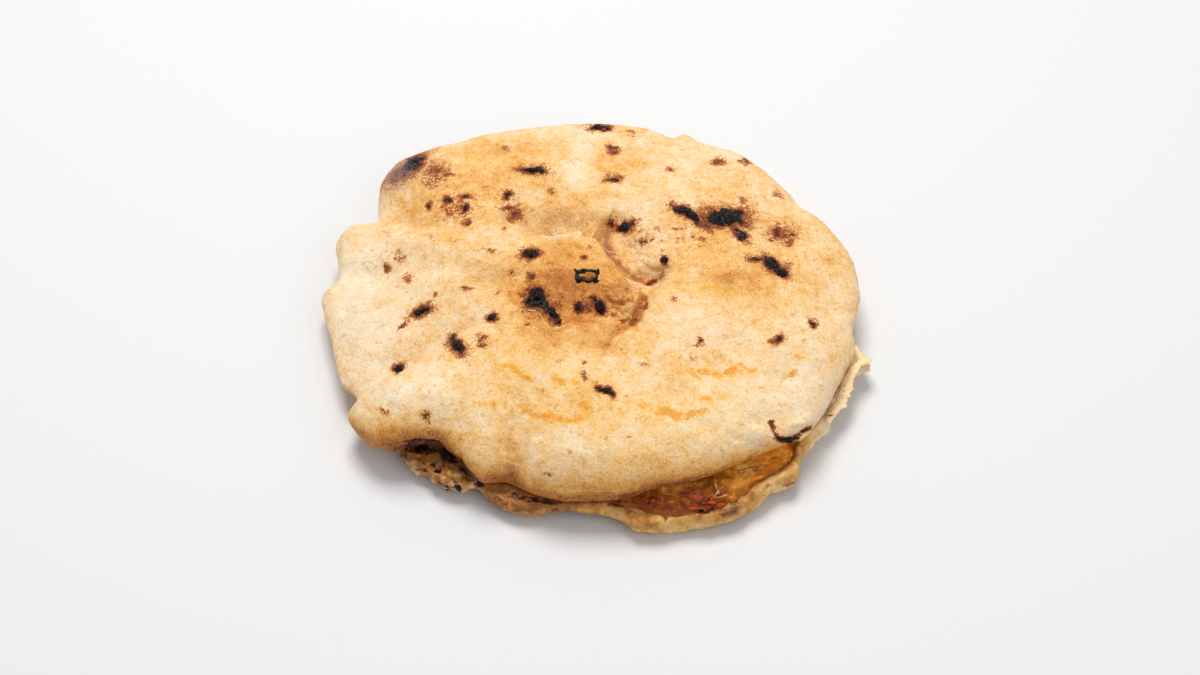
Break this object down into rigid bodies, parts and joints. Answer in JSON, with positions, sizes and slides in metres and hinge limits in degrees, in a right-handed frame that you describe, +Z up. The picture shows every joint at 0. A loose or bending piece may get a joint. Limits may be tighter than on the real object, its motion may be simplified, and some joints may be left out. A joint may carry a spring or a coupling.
{
  "type": "filled lepinja flatbread",
  "caption": "Round baked lepinja flatbread with scorched blisters, split into two leaves with an oily cooked filling showing at the front.",
  "frame": {"origin": "middle of the outline, on the flat underside", "axes": "+Z up through the bread, -Y towards the open mouth where the filling shows, +X to its right as seen from the mouth"},
  "size_m": [0.2316, 0.2102, 0.037],
  "materials": {
    "crust": "baked bread crust, matt and slightly oily",
    "crumb": "baked dough stained by the filling, matt",
    "savoury_filling": "oily cooked filling, glossy"
  },
  "bodies": {
    "root": {"upper_leaf": "crust", "lower_leaf": "crumb", "filling": "savoury_filling"}
  },
  "joints": []
}
